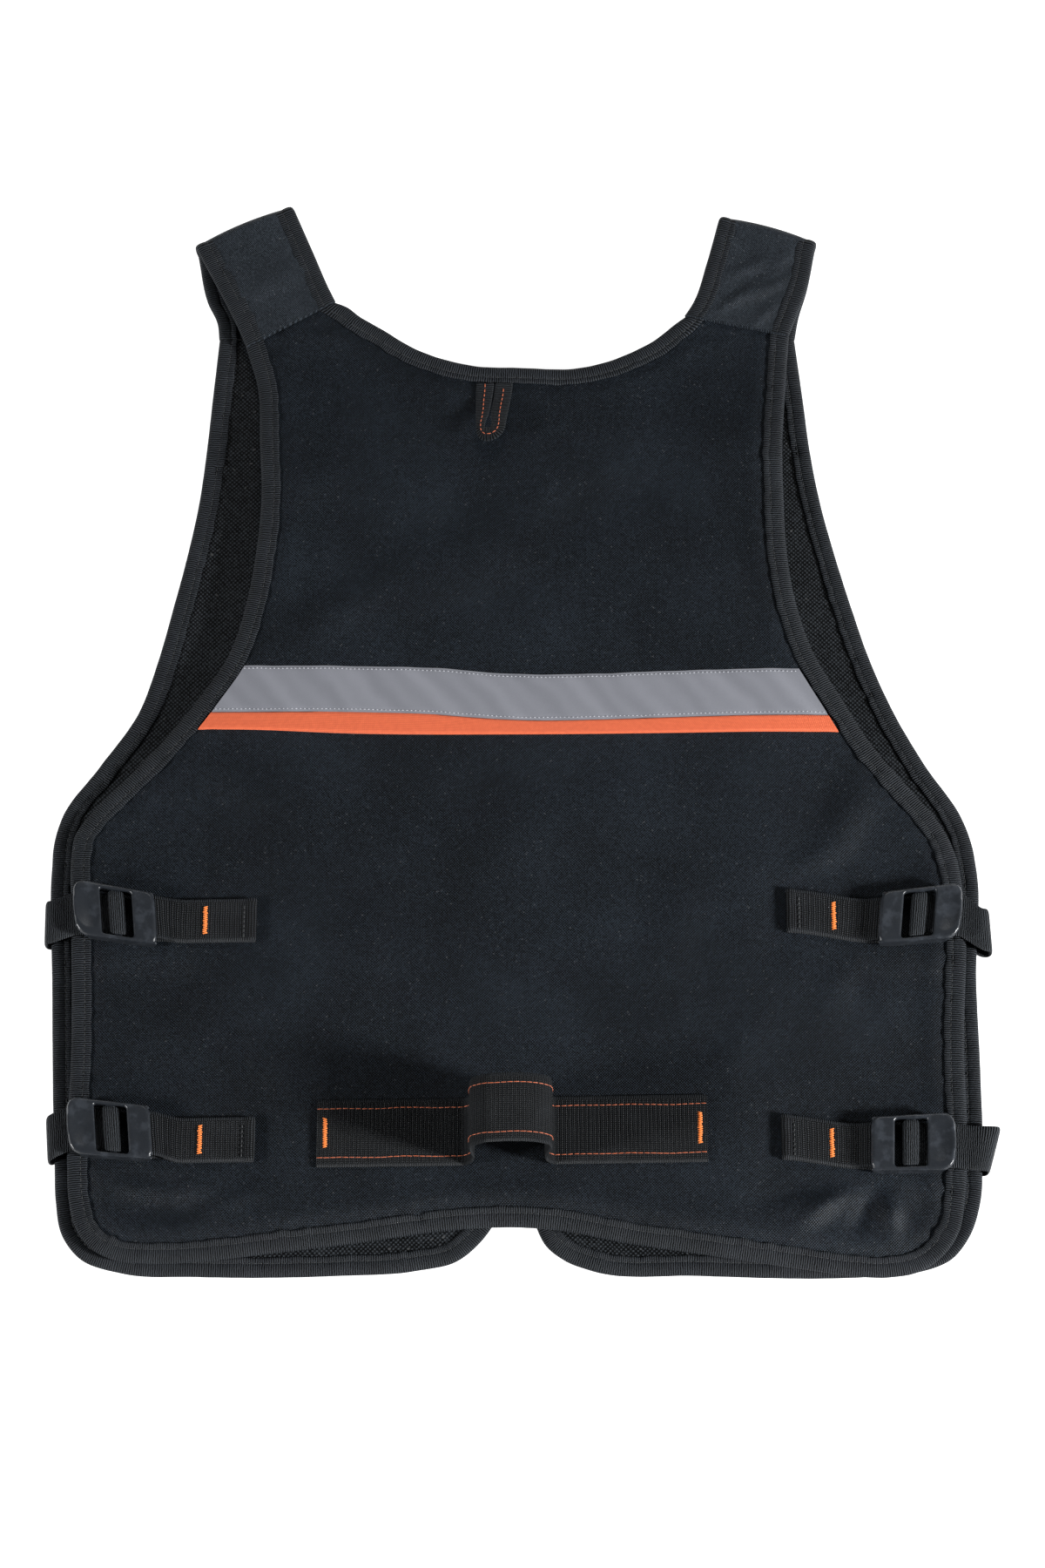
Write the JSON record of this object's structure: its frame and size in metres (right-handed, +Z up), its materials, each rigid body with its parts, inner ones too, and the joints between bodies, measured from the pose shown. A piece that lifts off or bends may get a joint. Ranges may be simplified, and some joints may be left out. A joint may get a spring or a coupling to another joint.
{
  "type": "utility work vest",
  "caption": "Sleeveless work vest lying flat back side up, with bound edges, folded shoulder straps, side webbing buckles, reflective band and a raised webbing tool loop.",
  "frame": {"origin": "centre of the bounding box, on the floor that the vest lies on", "axes": "+Y towards the collar, +X to the right of the picture with the back side up, +Z up from the floor"},
  "size_m": [0.5232, 0.6538, 0.0602],
  "materials": {
    "shell_cloth": "black woven oxford cloth",
    "strap_cloth": "black woven oxford cloth, a little bluer",
    "grosgrain": "ribbed binding tape",
    "webbing": "ribbed flat webbing",
    "reflective": "satin grey reflective tape",
    "orange": "fluorescent orange woven tape",
    "buckle_plastic": "satin dark grey moulded plastic"
  },
  "bodies": {
    "root": {"back_binding": "grosgrain", "back_panel": "shell_cloth", "buckle_lower_left": "buckle_plastic", "buckle_lower_right": "buckle_plastic", "buckle_tab_lower_left": "webbing", "buckle_tab_lower_right": "webbing", "buckle_tab_upper_left": "webbing", "buckle_tab_upper_right": "webbing", "buckle_upper_left": "buckle_plastic", "buckle_upper_right": "buckle_plastic", "front_binding_left": "grosgrain", "front_binding_right": "grosgrain", "front_closure": "webbing", "front_panel_left": "shell_cloth", "front_panel_right": "shell_cloth", "hang_loop": "webbing", "neck_binding": "grosgrain", "orange_tape": "orange", "reflective_tape": "reflective", "shoulder_strap_left": "strap_cloth", "shoulder_strap_right": "strap_cloth", "side_strap_lower_left": "webbing", "side_strap_lower_right": "webbing", "side_strap_upper_left": "webbing", "side_strap_upper_right": "webbing", "strap_binding_inner_left": "grosgrain", "strap_binding_inner_right": "grosgrain", "strap_binding_outer_left": "grosgrain", "strap_binding_outer_right": "grosgrain", "tool_webbing": "webbing"}
  },
  "joints": []
}
